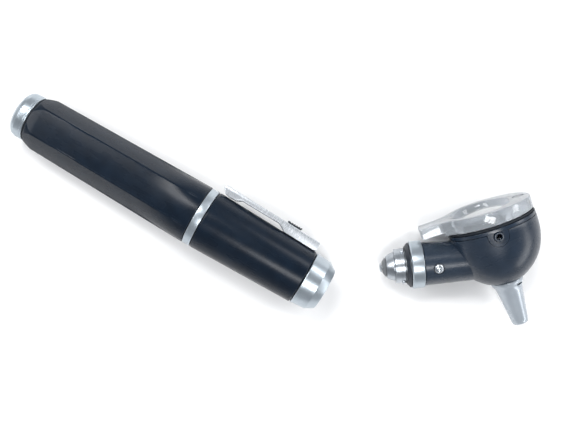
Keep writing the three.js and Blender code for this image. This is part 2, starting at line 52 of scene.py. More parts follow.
# ---- Local axes, worked out from the frame's joints ----------------------------------

def axis_of(joint_name):
    return Vector(JOINTS[joint_name]["axis"]).normalized()


def place_of(joint_name):
    return Vector(JOINTS[joint_name]["pos_m"])


def local_axes(origin, x, z):
    """A matrix that takes millimetres in local axes to the frame's metres."""
    y = z.cross(x).normalized()
    columns = [axis * MM for axis in (x, y, z)] + [origin]
    matrix = Matrix.Identity(4)
    for index, column in enumerate(columns):
        matrix.col[index][:3] = column
    return matrix


TAIL_JOINT_X = 3.0          # the tail cap's joint is this far in from the tail end
SPECULUM_JOINT_Z = -24.0    # the speculum's joint, from the rim plane
PIVOT_X = 12.6              # the lens plate's pivot screw, from the speculum's axis
PIVOT_JOINT_Z = 2.0
NECK_TILT = math.radians(14)
PLUG_TIP = Vector((-41.0, 0.0, -3.6))

handle_x = -axis_of("contact_pin_press")
HANDLE = local_axes(place_of("tail_cap_turn") - handle_x * TAIL_JOINT_X * MM,
                    handle_x, -axis_of("clip_flex"))
head_z = -axis_of("speculum_twist")
head_origin = place_of("speculum_twist") - head_z * SPECULUM_JOINT_Z * MM
to_pivot = place_of("lens_swivel") - head_z * PIVOT_JOINT_Z * MM - head_origin
HEAD = local_axes(head_origin, to_pivot.normalized(), head_z)
# The neck's axes start at the plug's tip and run up the neck. ALONG_NECK is in the head's axes.
ALONG_NECK = Matrix.Translation(PLUG_TIP) @ Matrix.Rotation(NECK_TILT, 4, "Y")
NECK = HEAD @ ALONG_NECK

# Local axes for a shape turned along +X, +Y or +Z from one made along +X.
TO_X = Matrix.Identity(4)
TO_Y = Matrix.Rotation(math.pi / 2, 4, "Z")
TO_Z = Matrix.Rotation(-math.pi / 2, 4, "Y")


# ---- Mesh helpers --------------------------------------------------------------------

def in_scene(name, data):
    """A new object in the scene that holds the mesh, curve, light or camera."""
    holder = bpy.data.objects.new(name, data)
    bpy.context.scene.collection.objects.link(holder)
    return holder


def as_object(name, vertices, faces):
    mesh = bpy.data.meshes.new(name)
    mesh.from_pydata([tuple(v) for v in vertices], [], faces)
    mesh.validate()
    return in_scene(name, mesh)


def facing_out(shape):
    bm = bmesh.new()
    bm.from_mesh(shape.data)
    bmesh.ops.recalc_face_normals(bm, faces=bm.faces)
    bm.to_mesh(shape.data)
    bm.free()
    return shape


def softened(profile, radius, steps=4, closed=None):
    """The same profile with its corners rounded. Ends on the axis stay as they are, and so
    do corners that are almost straight."""
    almost_straight = math.radians(170)
    longest_share = 0.45    # of a side, that one corner may take up
    if closed is None:
        closed = profile[0][1] != 0
    count = len(profile)
    out = []
    for i, point in enumerate(profile):
        here = Vector(point)
        if not closed and i in (0, count - 1):
            out.append(tuple(here))
            continue
        before = Vector(profile[i - 1]) - here
        after = Vector(profile[(i + 1) % count]) - here
        angle = before.angle(after)
        if angle > almost_straight:
            out.append(tuple(here))
            continue
        reach = min(radius / math.tan(angle / 2), before.length * longest_share,
                    after.length * longest_share)
        first = here + before.normalized() * reach
        last = here + after.normalized() * reach
        for s in range(steps + 1):
            t = s / steps
            out.append(tuple(first * (1 - t) ** 2 + here * 2 * t * (1 - t) + last * t * t))
    return out


def turned(name, profile, sides=96, to=TO_X):
    """A solid turned about an axis, from (along, radius) pairs that start and end on the
    axis, or that go round a ring's section."""
    on_axis = profile[0][1] == 0
    inner = profile[1:-1] if on_axis else profile
    vertices = []
    for i in range(sides):
        angle = 2 * math.pi * i / sides
        for along, radius in inner:
            vertices.append((along, radius * math.cos(angle), radius * math.sin(angle)))
    count = len(inner)
    faces = []
    spans = count - 1 if on_axis else count
    for i in range(sides):
        here, there = i * count, ((i + 1) % sides) * count
        for j in range(spans):
            k = (j + 1) % count
            faces.append((here + j, there + j, there + k, here + k))
    if on_axis:
        for along, j in ((profile[0][0], 0), (profile[-1][0], count - 1)):
            hub = len(vertices)
            vertices.append((along, 0.0, 0.0))
            for i in range(sides):
                faces.append((hub, i * count + j, ((i + 1) % sides) * count + j))
    shape = facing_out(as_object(name, vertices, faces))
    shape.data.transform(to)
    return shape


def looped(name, sections):
    """A ring-shaped solid through closed sections that all have as many points."""
    count = len(sections[0])
    vertices = [p for section in sections for p in section]
    faces = []
    for i in range(len(sections)):
        here, there = i * count, ((i + 1) % len(sections)) * count
        for j in range(count):
            k = (j + 1) % count
            faces.append((here + j, there + j, there + k, here + k))
    return facing_out(as_object(name, vertices, faces))


def lofted(name, rings):
    """A solid through closed rings of points, shut at both ends."""
    sides = len(rings[0])
    vertices = [p for ring in rings for p in ring]
    faces = []
    for r in range(len(rings) - 1):
        for i in range(sides):
            j = (i + 1) % sides
            a, b = r * sides, (r + 1) * sides
            faces.append((a + i, a + j, b + j, b + i))
    for ring in (0, len(rings) - 1):
        hub = len(vertices)
        vertices.append(tuple(np.mean(rings[ring], axis=0)))
        for i in range(sides):
            faces.append((hub, ring * sides + i, ring * sides + (i + 1) % sides))
    return facing_out(as_object(name, vertices, faces))


def quadratic(start, control, end, steps=8):
    """Points along a curve from start, which is left out, to end."""
    out = []
    for i in range(1, steps + 1):
        t = i / steps
        out.append(tuple(start[k] * (1 - t) ** 2 + control[k] * 2 * t * (1 - t)
                         + end[k] * t * t for k in (0, 1)))
    return out


def outline_solid(name, outline, low, high, bevel=0.0, holes=(), steps=3):
    """An outline in X and Y from low to high in Z, with rounded edges."""
    curve = bpy.data.curves.new(name, "CURVE")
    curve.dimensions = "2D"
    curve.fill_mode = "BOTH"
    curve.extrude = (high - low) / 2 - bevel
    curve.bevel_depth = bevel
    curve.bevel_resolution = steps
    curve.offset = -bevel
    for points in (outline, *holes):
        spline = curve.splines.new("POLY")
        spline.points.add(len(points) - 1)
        for i, (x, y) in enumerate(points):
            spline.points[i].co = (x, y, 0, 1)
        spline.use_cyclic_u = True
    temporary = in_scene(name, curve)
    mesh = applied_mesh(temporary)
    bpy.data.objects.remove(temporary)
    bpy.data.curves.remove(curve)
    mesh.transform(Matrix.Translation((0, 0, (low + high) / 2)))
    bm = bmesh.new()
    bm.from_mesh(mesh)
    bmesh.ops.remove_doubles(bm, verts=bm.verts, dist=1e-4)
    bmesh.ops.recalc_face_normals(bm, faces=bm.faces)
    bm.to_mesh(mesh)
    bm.free()
    return in_scene(name, mesh)


def block(name, low, high, bevel=0.0):
    """A box between two corners, with rounded edges."""
    bm = bmesh.new()
    bmesh.ops.create_cube(bm, size=1.0)
    size = [h - l for l, h in zip(low, high)]
    middle = [(h + l) / 2 for l, h in zip(low, high)]
    bmesh.ops.scale(bm, vec=size, verts=bm.verts)
    bmesh.ops.translate(bm, vec=middle, verts=bm.verts)
    if bevel:
        bmesh.ops.bevel(bm, geom=bm.edges[:] + bm.verts[:], offset=bevel, segments=3,
                        affect="EDGES", profile=0.5)
    mesh = bpy.data.meshes.new(name)
    bm.to_mesh(mesh)
    bm.free()
    return in_scene(name, mesh)


def applied_mesh(shape):
    """The mesh that the object has once its modifiers, or its curve, are worked out."""
    bpy.context.view_layer.update()
    graph = bpy.context.evaluated_depsgraph_get()
    return bpy.data.meshes.new_from_object(shape.evaluated_get(graph))


def apply_modifiers(shape):
    mesh = applied_mesh(shape)
    shape.modifiers.clear()
    shape.data = mesh
    return shape


def combined(base, operation, *tools):
    """base joined with, cut by or kept inside the other solids, which are used up."""
    for tool in tools:
        modifier = base.modifiers.new("solid", "BOOLEAN")
        modifier.operation = operation
        modifier.solver = "EXACT"
        modifier.object = tool
        apply_modifiers(base)
        bpy.data.objects.remove(tool)
    return base


def moved(shape, matrix):
    shape.data.transform(matrix)
    return shape


def edge_wear(mesh):
    """Marks how sharply the surface turns at each point, which the materials wear down."""
    bm = bmesh.new()
    bm.from_mesh(mesh)
    bm.normal_update()
    full_wear = math.radians(22)
    values = []
    for vertex in bm.verts:
        turn = max((edge.calc_face_angle(0.0) for edge in vertex.link_edges), default=0.0)
        values.append(min(turn / full_wear, 1.0))
    bm.free()
    attribute = mesh.attributes.new("edge", "FLOAT", "POINT")
    attribute.data.foreach_set("value", values)


def remember_local(mesh, millimetre=1.0):
    """Keeps each point's local millimetres, so that tool marks and grain follow the piece.
    millimetre is how long one is in the mesh's own units."""
    points = np.zeros(len(mesh.vertices) * 3, np.float32)
    mesh.vertices.foreach_get("co", points)
    attribute = mesh.attributes.new("local", "FLOAT_VECTOR", "POINT")
    attribute.data.foreach_set("vector", points / millimetre)


def put(shape, axes, body, nodes, material, sharp=SHARP_ANGLE):
    """Finishes a piece: its place in the frame, shading, material and body; the CAD nodes it
    stands in for are hidden.
    """
    mesh = shape.data
    remember_local(mesh)
    edge_wear(mesh)
    mesh.transform(axes)
    mesh.polygons.foreach_set("use_smooth", [True] * len(mesh.polygons))
    mesh.set_sharp_from_angle(angle=math.radians(sharp))
    mesh.materials.clear()
    mesh.materials.append(material)
    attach(shape, body)
    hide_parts(*nodes)
    return shape


# ---- Materials -----------------------------------------------------------------------

class Nodes:
    """A short way to write a node tree."""

    def __init__(self, name):
        self.material = bpy.data.materials.new(name)
        self.material.use_nodes = True
        self.tree = self.material.node_tree
        self.shader = self.tree.nodes["Principled BSDF"]

    def add(self, kind, **settings):
        node = self.tree.nodes.new(kind)
        for key, value in settings.items():
            if key in node.inputs:
                node.inputs[key].default_value = value
            else:
                setattr(node, key, value)
        return node

    def link(self, source, target):
        self.tree.links.new(source, target)

    def attribute(self, name, output):
        return self.add("ShaderNodeAttribute", attribute_name=name).outputs[output]

    def stretched(self, vector, scale):
        """The vector with each of its parts scaled, so that a pattern runs along the piece."""
        node = self.add("ShaderNodeVectorMath", operation="MULTIPLY")
        node.inputs[1].default_value = scale
        self.link(vector, node.inputs[0])
        return node.outputs[0]

    def noise(self, vector, scale, detail=3.0, roughness=0.5):
        node = self.add("ShaderNodeTexNoise", Scale=scale, Detail=detail, Roughness=roughness)
        self.link(vector, node.inputs["Vector"])
        return node.outputs["Fac"]

    def between(self, value, low, high, from_low=0.0, from_high=1.0):
        """The value carried over from one range to the range from low to high."""
        node = self.add("ShaderNodeMapRange")
        for index, number in enumerate((from_low, from_high, low, high)):
            node.inputs[index + 1].default_value = number
        self.link(value, node.inputs[0])
        return node.outputs[0]

    def product(self, a, b):
        node = self.add("ShaderNodeMath", operation="MULTIPLY")
        self.link(a, node.inputs[0])
        self.link(b, node.inputs[1])
        return node.outputs[0]

    def mixed(self, factor, first, second):
        node = self.add("ShaderNodeMix", data_type="RGBA")
        self.link(factor, node.inputs[0])
        for socket, value in ((node.inputs[6], first), (node.inputs[7], second)):
            if isinstance(value, tuple):
                socket.default_value = (*value, 1.0)
            else:
                self.link(value, socket)
        return node.outputs[2]

    def bump(self, height, strength, distance):
        node = self.add("ShaderNodeBump", Strength=strength, Distance=distance)
        self.link(height, node.inputs["Height"])
        return node.outputs[0]

    def set(self, **values):
        """Gives the shader's sockets plain values or node outputs, and returns the material."""
        for key, value in values.items():
            socket = self.shader.inputs[key.replace("_", " ")]
            if isinstance(value, (int, float, tuple)):
                socket.default_value = (*value, 1.0) if isinstance(value, tuple) else value
            else:
                self.link(value, socket)
        return self.material


def coated(name, dark, light, worn, roughness, metallic, grain, wear=0.35, **extra):
    """Anodised metal or moulded plastic: clouded colour, fine grain, rubbed edges."""
    n = Nodes(name)
    local = n.attribute("local", "Vector")
    cloud = n.noise(local, 0.22, 4.0)
    colour = n.mixed(n.between(cloud, 0.0, 1.0, 0.3, 0.7), dark, light)
    rub = n.product(n.between(n.attribute("edge", "Fac"), 0.0, wear, 0.35, 1.0),
                    n.between(n.noise(local, 2.2, 5.0), 0.0, 1.0, 0.35, 0.65))
    colour = n.mixed(rub, colour, worn)
    smear = n.noise(n.stretched(local, (0.3, 1.0, 1.0)), 0.25, 3.0)
    fine = n.noise(local, grain, 2.0, 0.5)
    return n.set(Base_Color=colour, Metallic=metallic,
                 Roughness=n.between(smear, roughness - 0.03, roughness + 0.04, 0.3, 0.7),
                 Normal=n.bump(fine, 0.3, 0.000005), **extra)


def machined(name, base, shade, roughness, metallic=1.0, along=(6.0, 0.25, 0.25)):
    """Turned satin metal: tool marks run round the piece, edges are brighter."""
    n = Nodes(name)
    local = n.attribute("local", "Vector")
    marks = n.noise(n.stretched(local, along), 3.0, 6.0, 0.65)
    cloud = n.noise(local, 0.35, 3.0)
    colour = n.mixed(n.between(cloud, 0.0, 1.0, 0.3, 0.7), shade, base)
    bright = tuple(min(part * 1.12, 1.0) for part in base)
    colour = n.mixed(n.between(n.attribute("edge", "Fac"), 0.0, 0.5, 0.4, 1.0), colour, bright)
    return n.set(Base_Color=colour, Metallic=metallic,
                 Roughness=n.between(marks, roughness - 0.06, roughness + 0.08, 0.3, 0.7),
                 Normal=n.bump(marks, 0.15, 0.000008))


def clear(name, tint, roughness, transmission, ior, **extra):
    """Clear plastic or glass with faint smears."""
    n = Nodes(name)
    local = n.attribute("local", "Vector")
    smear = n.noise(n.stretched(local, (1.0, 0.4, 1.0)), 0.5, 5.0)
    return n.set(Base_Color=tint, Metallic=0.0, IOR=ior, Transmission_Weight=transmission,
                 Roughness=n.between(smear, roughness * 0.6, roughness * 1.5, 0.3, 0.7), **extra)


ANODISED = coated("anodised_black", (0.004, 0.008, 0.015), (0.006, 0.012, 0.022),
                  (0.04, 0.055, 0.075), 0.27, 0.0, 4.0, Specular_IOR_Level=0.17)
PLASTIC = coated("black_plastic", (0.009, 0.017, 0.030), (0.014, 0.024, 0.041),
                 (0.04, 0.055, 0.075), 0.27, 0.0, 4.0, Specular_IOR_Level=0.5)
DARK_INSULATOR = coated("dark_insulator", (0.10, 0.11, 0.12), (0.14, 0.15, 0.16),
                        (0.25, 0.26, 0.27), 0.35, 0.0, 4.0)
SLIDER = coated("dark_plastic", (0.014, 0.018, 0.026), (0.020, 0.026, 0.036),
                (0.07, 0.08, 0.09), 0.45, 0.0, 7.0, Specular_IOR_Level=0.35)
RUBBER = coated("rubber_black", (0.006, 0.009, 0.014), (0.010, 0.014, 0.020),
                (0.02, 0.02, 0.024), 0.7, 0.0, 5.0, Specular_IOR_Level=0.3)
SILVER = machined("satin_silver", (0.43, 0.48, 0.52), (0.38, 0.43, 0.47), 0.32, 0.9)
PLUG_SILVER = machined("plug_silver", (0.46, 0.49, 0.52), (0.34, 0.37, 0.40), 0.30, 1.0)
BRIGHT = machined("bright_steel", (0.56, 0.59, 0.62), (0.50, 0.53, 0.56), 0.24, 0.6)
STEEL = machined("spring_steel", (0.42, 0.43, 0.45), (0.34, 0.35, 0.37), 0.30)
BRASS = machined("brass", (0.70, 0.52, 0.24), (0.56, 0.41, 0.18), 0.26)
NYLON = coated("nylon_white", (0.60, 0.59, 0.54), (0.68, 0.67, 0.62), (0.72, 0.72, 0.68),
               0.5, 0.0, 5.0)
SPECULUM_GREY = coated("speculum_grey", (0.33, 0.37, 0.41), (0.38, 0.42, 0.46),
                       (0.46, 0.50, 0.54), 0.24, 0.35, 4.0, Specular_IOR_Level=0.8)
ACRYLIC = clear("clear_acrylic", (0.60, 0.64, 0.68), 0.07, 0.72, 1.49)
GLASS = clear("optical_glass", (0.93, 0.95, 0.96), 0.04, 0.7, 1.52, Specular_IOR_Level=0.9)
JACKET = coated("battery_jacket", (0.08, 0.09, 0.11), (0.11, 0.12, 0.14), (0.2, 0.2, 0.22),
                0.35, 0.0, 4.0)


# ---- Handle --------------------------------------------------------------------------

BARREL_START = 6.0
BARREL_END = 70.5
BARREL_TAIL_RADIUS = 9.5
BARREL_FRONT_RADIUS = 10.75
CHAMFER_LENGTH = 3.0        # at the barrel's tail end
CHAMFER_DEPTH = 1.0
EDGE_ROUND = 0.12
BORE_RADIUS = 7.6
CAP_BORE_RADIUS = 7.95      # the bore's wider first stretch, round the tail cap's skirt
CAP_BORE_END = 10.6
FLAT_TAIL_APOTHEM = 8.4     # from the axis to the flats, at the tail
FLAT_FRONT_APOTHEM = 9.15   # the same at the ring, if the flats went on that far
FLAT_FADE = 0.68            # where the flats start to fade, as a part of the barrel's length
FLAT_CROWN = 0.18           # the flats are very slightly rounded
LUG_ANGLES = [math.radians(degrees) for degrees in (55, -65, 175)]
CLIP_HALF = 3.3


def smoothstep(value, low, high):
    """From 0 at low to 1 at high, with a soft start and end."""
    t = min(max((value - low) / (high - low), 0.0), 1.0)
    return t * t * (3 - 2 * t)


def grip_section(x, radius, apothem, fade):
    """Round the grip: six flats, which fade into the round, and the rounds between them."""
    narrowest, widest = math.radians(0.6), math.radians(28.5)
    edge = min(max(math.acos(min(apothem / radius, 1.0)), narrowest), widest)
    on_flat = (-1.0, -0.96, -0.8, -0.5, -0.2, 0.2, 0.5, 0.8, 0.96, 1.0)
    on_round = (0.06, 0.3, 0.7, 0.94)
    points = []
    for flat in range(6):
        normal = math.pi / 2 + flat * math.pi / 3
        for part in on_flat:
            turn = part * edge
            crown = FLAT_CROWN * (1 - part * part) * (edge / 0.5) ** 2
            reach = min(radius, apothem / math.cos(turn) + crown)
            points.append((normal + turn, reach + (radius - reach) * fade))
        for part in on_round:
            points.append((normal + edge + part * (math.pi / 3 - 2 * edge), radius))
    return [(x, reach * math.cos(a), reach * math.sin(a)) for a, reach in points]


def make_grip_barrel():
    stations = [0, 0.004, 0.012, 0.02, 0.03, 0.04, 0.05, 0.055]
    plain_steps = 44
    stations += [0.055 + 0.94 * i / plain_steps for i in range(1, plain_steps + 1)]
    stations += [0.998, 1.0]
    rings = []
    for t in stations:
        x = BARREL_START + (BARREL_END - BARREL_START) * t
        radius = BARREL_TAIL_RADIUS + (BARREL_FRONT_RADIUS - BARREL_TAIL_RADIUS) * t
        chamfer = max(0.0, 1.0 - (x - BARREL_START) / CHAMFER_LENGTH)
        radius -= CHAMFER_DEPTH * chamfer
        if t in (0, 1):
            radius -= EDGE_ROUND
        apothem = FLAT_TAIL_APOTHEM + (FLAT_FRONT_APOTHEM - FLAT_TAIL_APOTHEM) * t
        apothem -= EDGE_ROUND * chamfer
        rings.append(grip_section(x, radius, apothem, smoothstep(t, FLAT_FADE, 1.0)))
    angles = [math.atan2(z, y) for _, y, z in rings[0]]
    for x, radius in ((BARREL_END, BORE_RADIUS), (CAP_BORE_END, BORE_RADIUS),
                      (CAP_BORE_END, CAP_BORE_RADIUS), (BARREL_START, CAP_BORE_RADIUS)):
        rings.append([(x, radius * math.cos(a), radius * math.sin(a)) for a in angles])
    columns = [[ring[i] for ring in rings] for i in range(len(angles))]
    barrel = looped("grip_barrel_fine", columns)
    put(barrel, HANDLE, "handle", ["grip_barrel"], ANODISED, 40)


def make_turned_handle_pieces():
    cap = turned("tail_cap_fine", [(0, 0), *softened(
        [(0, 0), (0, 5.6), (0.45, 7.1), (1.2, 7.95), (2.3, 8.33), (4.35, 8.33), (4.45, 8.18),
         (4.65, 8.18), (4.75, 8.33), (5.3, 8.28), (5.3, 7.7), (9.6, 7.7), (9.6, 7.3),
         (1.7, 7.3), (1.7, 0)], 0.25, closed=False)[1:-1], (1.7, 0)])
    put(cap, HANDLE, "tail_cap", ["tail_cap"], SILVER)
    seal = turned("tail_cap_seal_fine", softened([(5.4, 7.85), (5.4, 8.2), (5.9, 8.2),
                                                  (5.9, 7.85)], 0.2))
    put(seal, HANDLE, "tail_cap", ["tail_cap_seal"], RUBBER)
    ring = turned("mid_ring_fine", softened([(70.8, 7.6), (70.8, 10.7), (73.6, 10.65),
                                             (73.6, 7.6)], 0.22), 128)
    put(ring, HANDLE, "handle", ["mid_ring"], SILVER)
    sleeve = turned("front_sleeve_fine", softened(
        [(73.9, 7.6), (73.9, 10.6), (74.3, 10.68), (112.7, 9.76), (113.0, 9.5), (113.0, 7.6)],
        0.2), 128)
    put(sleeve, HANDLE, "handle", ["front_sleeve"], ANODISED)
    nose = turned("socket_cap_fine", softened(
        [(106.6, 6.5), (106.6, 7.3), (113.3, 7.3), (113.3, 9.5), (113.55, 9.63),
         (118.7, 9.2), (120.3, 8.3), (121.7, 7.45), (121.7, 6.8), (121.4, 6.5)], 0.3), 128)
    nose = combined(nose, "DIFFERENCE", *[
        moved(block("lug_slot", (117, -7.1, -0.95), (125, 0, 0.95), 0.2),
              Matrix.Rotation(angle, 4, "X")) for angle in LUG_ANGLES])
    put(nose, HANDLE, "handle", ["socket_cap"], SILVER)


def clip_outline():
    """The clip from the side: front foot, long back, tip, and the two bends of its arm."""
    points = [(112.3, 9.95), (112.3, 12.6)]
    points += quadratic(points[-1], (112.3, 13.1), (111.6, 13.1), 6)
    points += [(95.0, 13.6), (75.9, 14.0)]
    points += quadratic(points[-1], (73.9, 14.1), (74.0, 13.0), 8)
    points += [(75.4, 11.2)]
    points += quadratic(points[-1], (76.2, 10.85), (77.2, 10.85), 6)
    points += [(79.4, 10.9)]
    points += quadratic(points[-1], (80.6, 11.2), (81.6, 12.0), 6)
    points += [(96.3, 11.8)]
    points += quadratic(points[-1], (97.4, 11.5), (99.5, 10.0), 6)
    return points + [(111.2, 9.7), (111.4, 9.95)]


def make_clip():
    clip = outline_solid("clip_fine", clip_outline(), -CLIP_HALF, CLIP_HALF, 0.28)
    hollow = [(80.5, 9), (80.5, 13.25), (96.0, 12.85), (111.5, 12.3), (111.5, 9)]
    channel = outline_solid("clip_channel", hollow, -CLIP_HALF + 0.7, CLIP_HALF - 0.7, 0.15)
    slot = block("clip_slot", (98.6, 11.5, -1.1), (108.4, 15, 1.1), 0.2)
    clip = combined(clip, "DIFFERENCE", channel, slot)
    floor = block("clip_floor", (105.2, 9.98, -3.15), (111.8, 10.6, 3.15), 0.1)
    clip = combined(clip, "UNION", floor)
    put(clip, HANDLE, "clip", ["clip"], BRIGHT)

    slider = block("switch_slider_fine", (98.9, 13.72, -1.9), (104.5, 14.3, 1.9), 0.2)
    stem = block("switch_stem", (99.2, 11.6, -0.8), (104.2, 13.9, 0.8), 0.1)
    slider = combined(slider, "UNION", stem)
    grooves = [block("groove", (x, 14.05, -3), (x + 0.45, 15, 3), 0.06)
               for x in (99.95, 100.85, 101.75, 102.65, 103.55)]
    slider = combined(slider, "DIFFERENCE", *grooves)
    put(slider, HANDLE, "switch", ["switch_slider"], SLIDER)


# ---- Head ----------------------------------------------------------------------------

RIM_CENTRE_X = 1.0
RIM_HALF_LENGTH = 15.6
RIM_HALF_WIDTH = 13.5
BOWL_DEPTH = 22.0
SHELL_WALL = 1.5
COVER_TOP = -1.0            # the rim piece with the tongue lies between these two heights
COVER_BOTTOM = -2.2
TONGUE_RADIUS = 3.5
PORT_Z = -3.7
WINDOW_X = -1.0             # the magnifying lens, from the speculum's axis
PLATE_BOTTOM = 0.2
PLATE_TAB_TOP = 5.3         # the lens plate is a little thinner at its far end
PLATE_FAR_TOP = 4.5
PLATE_SLOPE_START_X = -14.0
PLATE_SLOPE_LENGTH = 32.0
SPECULUM_TIP_Z = -39.1
SCREW_ALONG = 20.0
SCREW_TURN = math.radians(5)
AT_SCREW = Matrix.Translation((SCREW_ALONG, 0, 0)) @ Matrix.Rotation(SCREW_TURN, 4, "X")
# The bowl's ovals: height, half length and half width.
BOWL_PROFILE = [(0, 15.6, 13.4), (-4, 15.85, 13.1), (-8, 15.8, 12.7), (-12, 15.0, 12.15),
                (-15.5, 13.5, 11.2), (-18.3, 11.5, 9.8), (-20.2, 9.4, 8.4),
                (-21.5, 7.6, 7.1), (-22.0, 6.4, 6.3)]


def smooth_through(rows, steps):
    """Catmull-Rom points through rows of numbers."""
    rows = np.array(rows, float)
    padded = np.vstack([2 * rows[0] - rows[1], rows, 2 * rows[-1] - rows[-2]])
    out = []
    for i in range(1, len(padded) - 2):
        a, b, c, d = padded[i - 1:i + 3]
        for s in range(steps):
            t = s / steps
            out.append(0.5 * (2 * b + (c - a) * t + (2 * a - 5 * b + 4 * c - d) * t * t
                              + (3 * b - a - 3 * c + d) * t ** 3))
    out.append(rows[-1])
    return out


def bowl(name, offset, top, bottom, sides=128):
    """The bowl's solid between two heights, grown by offset."""
    rows = smooth_through(BOWL_PROFILE, 4)
    inner_rows = [row for row in rows
                  if bottom + 0.1 < row[0] - offset * row[0] / -BOWL_DEPTH < top - 0.3]
    levels = [(top, rows[0]), *((None, row) for row in inner_rows), (bottom, rows[-1])]
    rings = []
    for level, (depth, length, width) in levels:
        t = depth / -BOWL_DEPTH
        z = depth - offset * t if level is None else level
        centre = RIM_CENTRE_X * (1 - t)
        rings.append([(centre + (length + offset) * math.cos(2 * math.pi * i / sides),
                       (width + offset) * math.sin(2 * math.pi * i / sides), z)
                      for i in range(sides)])
    return lofted(name, rings)


def arc(cx, cy, rx, ry, start, end, steps):
    """Points along an oval, from one angle to another."""
    return [(cx + rx * math.cos(start + (end - start) * i / steps),
             cy + ry * math.sin(start + (end - start) * i / steps)) for i in range(steps + 1)]


def tongue(name, offset):
    """The tongue's outline round the air port, as a prism through the head's -Y wall."""
    radius = TONGUE_RADIUS + offset
    outline = [(radius, COVER_TOP + 0.05)]
    outline += arc(0, PORT_Z, radius, radius, 0, -math.pi, 24)
    outline += [(-radius, COVER_TOP + 0.05)]
    prism = outline_solid(name, outline, 10, 18)
    return moved(prism, Matrix.Rotation(math.pi / 2, 4, "X"))


def make_shell():
    shell = bowl("head_shell_fine", 0, COVER_BOTTOM - 0.2, -BOWL_DEPTH)
    neck = moved(turned("neck", [(15.4, 0), (15.4, 7.55), (15.55, 7.7), (33, 7.3), (38, 0)]),
                 ALONG_NECK)
    web = moved(turned("web", [(29, 0), (29, 4), (36, 8.6), (40, 0)]), ALONG_NECK)
    shell = combined(shell, "UNION", neck, web)
    cuts = [
        bowl("inside", -SHELL_WALL, 1, -BOWL_DEPTH + SHELL_WALL),
        moved(turned("neck_bore", [(0, 0), (0, 5.0), (36, 5.0), (36, 0)], 64), ALONG_NECK),
        turned("nose_hole", [(-30, 0), (-30, 4.4), (-10, 4.4), (-10, 0)], 64, TO_Z),
        moved(turned("screw_hole", [(-20, 0), (-20, 0.9), (-2, 0.9), (-2, 0)], 32, TO_Y),
              ALONG_NECK @ AT_SCREW),
        moved(turned("screw_seat", [(-20, 0), (-20, 1.95), (-7.0, 1.95), (-7.0, 0)], 48, TO_Y),
              ALONG_NECK @ AT_SCREW),
        tongue("notch", 0.15),
    ]
    shell = combined(shell, "DIFFERENCE", *cuts)
    put(shell, HEAD, "head", ["head_shell"], PLASTIC, 30)


def oval_ring(name, section, sides=160):
    """A ring round the rim with the given (offset, z) section."""
    sections = []
    for i in range(sides):
        angle = 2 * math.pi * i / sides
        sections.append([(RIM_CENTRE_X + (RIM_HALF_LENGTH + offset) * math.cos(angle),
                          (RIM_HALF_WIDTH + offset) * math.sin(angle), z)
                         for offset, z in section])
    return looped(name, sections)


def make_rim():
    band = oval_ring("eyepiece_cover_fine", softened(
        [(-2.6, COVER_BOTTOM), (0, COVER_BOTTOM), (0, COVER_TOP), (-2.6, COVER_TOP)],
        0.15, closed=True))
    flap = combined(bowl("flap", 0, 0, -BOWL_DEPTH), "DIFFERENCE",
                    bowl("flap_inside", -SHELL_WALL, 1, -BOWL_DEPTH + SHELL_WALL))
    flap = combined(flap, "INTERSECT", tongue("flap_outline", 0))
    boss = turned("boss", [(COVER_BOTTOM, 0), (COVER_BOTTOM, 2.6), (COVER_TOP, 2.6),
                           (COVER_TOP, 0)], 48, TO_Z)
    moved(boss, Matrix.Translation((PIVOT_X, 0, 0)))
    cover = combined(band, "UNION", flap, boss)
    port_hole = turned("port_hole", [(-20, 0), (-20, 1.85), (-5, 1.85), (-5, 0)], 64, TO_Y)
    moved(port_hole, Matrix.Translation((0, 0, PORT_Z)))
    pivot_hole = turned("pivot_hole", [(-10, 0), (-10, 0.9), (5, 0.9), (5, 0)], 32, TO_Z)
    moved(pivot_hole, Matrix.Translation((PIVOT_X, 0, 0)))
    cover = combined(cover, "DIFFERENCE", port_hole, pivot_hole)
    put(cover, HEAD, "head", ["eyepiece_cover"], PLASTIC, 30)

    gasket = oval_ring("rim_gasket_fine", softened(
        [(-2.4, COVER_TOP + 0.1), (-0.3, COVER_TOP + 0.1), (-0.3, -0.1), (-2.4, -0.1)],
        0.3, closed=True))
    put(gasket, HEAD, "head", ["rim_gasket"], RUBBER)

    port = turned("air_port_fine", softened([(-14.1, 1.05), (-14.1, 1.55), (-13.75, 1.7),
                                             (-10.0, 1.7), (-10.0, 1.05)], 0.2), 64, TO_Y)
    moved(port, Matrix.Translation((0, 0, PORT_Z)))
    put(port, HEAD, "head", ["air_port"], PLASTIC)


